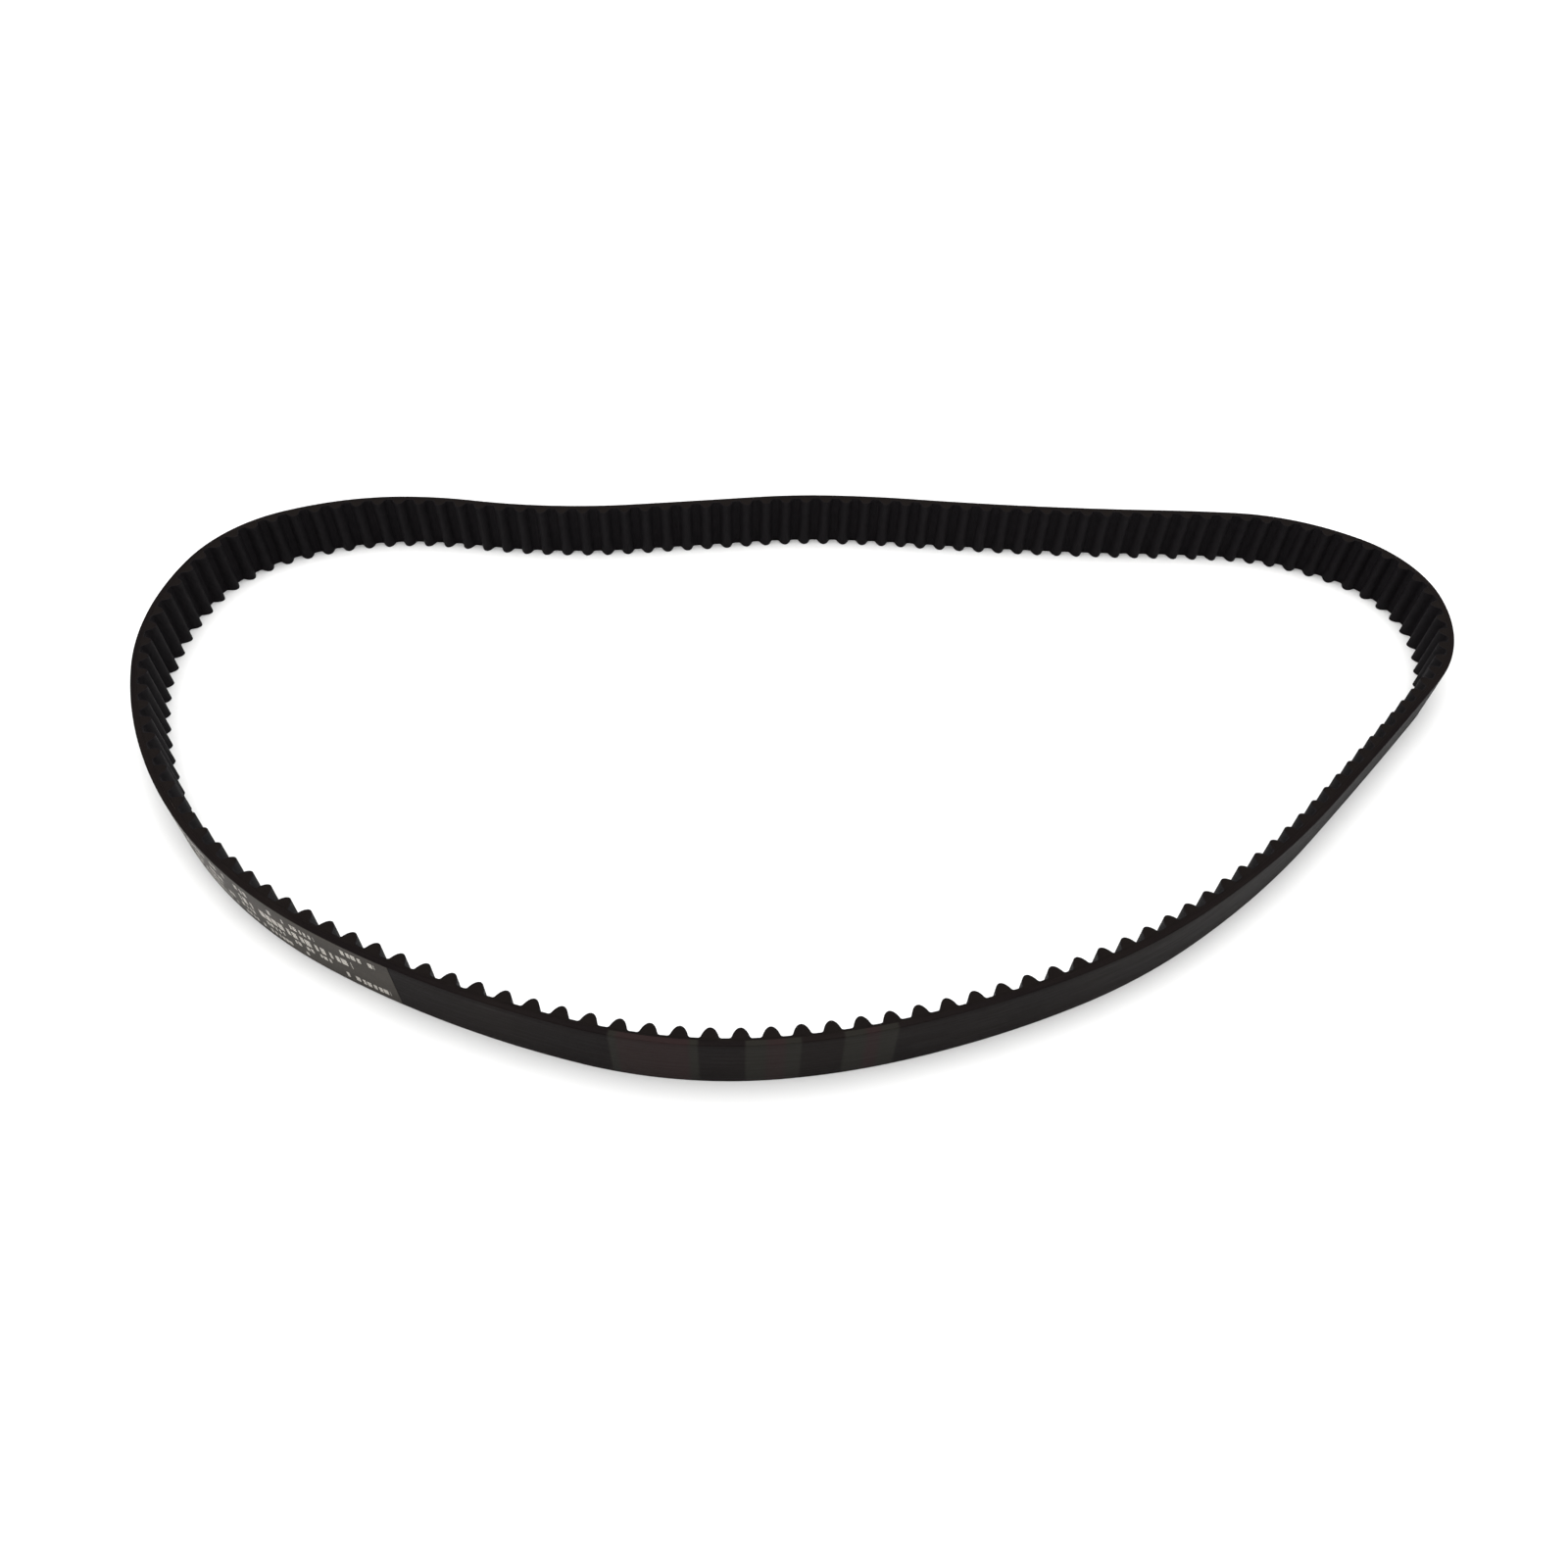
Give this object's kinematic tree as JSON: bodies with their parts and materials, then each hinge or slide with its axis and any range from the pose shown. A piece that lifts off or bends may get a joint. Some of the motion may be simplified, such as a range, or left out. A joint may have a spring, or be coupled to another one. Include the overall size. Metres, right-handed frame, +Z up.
{
  "type": "timing belt",
  "caption": "Endless toothed rubber timing belt standing on its edge: rounded teeth inside, smooth back with a printed transfer, glass cords and a fabric facing.",
  "frame": {"origin": "middle of the loop's outline, on the surface that the belt stands on", "axes": "+Z up, across the belt's width; +X along the loop's longest extent, to the right; +Y towards the loop's flatter run"},
  "size_m": [0.4654, 0.2444, 0.02],
  "materials": {
    "backing_rubber": "satin, finely ground",
    "adhesion_rubber": "satin",
    "tooth_rubber": "satin",
    "facing_fabric": "fine dipped nylon twill",
    "tension_cord": "dipped twisted glass fibre",
    "transfer_label": "thin matt ink transfer"
  },
  "bodies": {
    "root": {"backing_rubber": "backing_rubber", "adhesion_rubber": "adhesion_rubber", "tooth_rubber": "tooth_rubber", "facing_fabric": "facing_fabric", "transfer_label": "transfer_label", "cord_turn_01_s_twist": "tension_cord", "cord_turn_02_z_twist": "tension_cord", "cord_turn_03_s_twist": "tension_cord", "cord_turn_04_z_twist": "tension_cord", "cord_turn_05_s_twist": "tension_cord", "cord_turn_06_z_twist": "tension_cord", "cord_turn_07_s_twist": "tension_cord", "cord_turn_08_z_twist": "tension_cord", "cord_turn_09_s_twist": "tension_cord", "cord_turn_10_z_twist": "tension_cord", "cord_turn_11_s_twist": "tension_cord", "cord_turn_12_z_twist": "tension_cord", "cord_turn_13_s_twist": "tension_cord", "cord_turn_14_z_twist": "tension_cord", "cord_turn_15_s_twist": "tension_cord", "cord_turn_16_z_twist": "tension_cord"}
  },
  "joints": []
}
